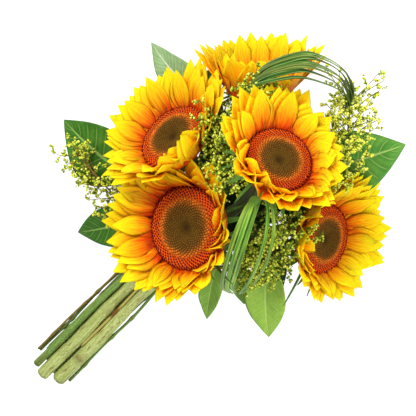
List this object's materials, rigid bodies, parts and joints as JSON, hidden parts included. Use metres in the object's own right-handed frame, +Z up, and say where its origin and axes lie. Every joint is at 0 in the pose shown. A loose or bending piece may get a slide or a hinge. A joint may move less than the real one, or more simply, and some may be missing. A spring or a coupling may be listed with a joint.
{
  "type": "bunch of cut sunflowers",
  "caption": "Hand-tied bunch of open sunflowers with broad leaves, sprays of small green-yellow buds and loops of folded grass, lying on its side.",
  "frame": {"origin": "middle of the bunch's footprint, on the surface that it lies on", "axes": "+X along the bunch from the cut ends to the blooms, +Z up from the surface"},
  "size_m": [0.4906, 0.2998, 0.191],
  "materials": {
    "petals": "satin",
    "disc": "matte",
    "sunflower_stem": "matte",
    "leaf": "satin",
    "buds": "matte",
    "grass": "satin",
    "twine": "matte"
  },
  "bodies": {
    "root": {"bud_spray_centre": "buds", "bud_spray_front": "buds", "bud_spray_left": "buds", "bud_spray_middle": "buds", "bud_spray_right": "buds", "bud_spray_upper": "buds", "grass_loop_front": "grass", "grass_loop_upper": "grass", "leafy_stem_left": "leaf", "leafy_stem_lower": "leaf", "leafy_stem_middle": "leaf", "leafy_stem_right": "leaf", "leafy_stem_under_left": "leaf", "leafy_stem_under_right": "leaf", "leafy_stem_upper": "leaf", "sunflower_back_disc": "disc", "sunflower_back_petals": "petals", "sunflower_back_stem": "sunflower_stem", "sunflower_front_disc": "disc", "sunflower_front_petals": "petals", "sunflower_front_stem": "sunflower_stem", "sunflower_left_disc": "disc", "sunflower_left_petals": "petals", "sunflower_left_stem": "sunflower_stem", "sunflower_right_disc": "disc", "sunflower_right_petals": "petals", "sunflower_right_stem": "sunflower_stem", "sunflower_top_disc": "disc", "sunflower_top_petals": "petals", "sunflower_top_stem": "sunflower_stem", "tie_band": "twine"}
  },
  "joints": []
}
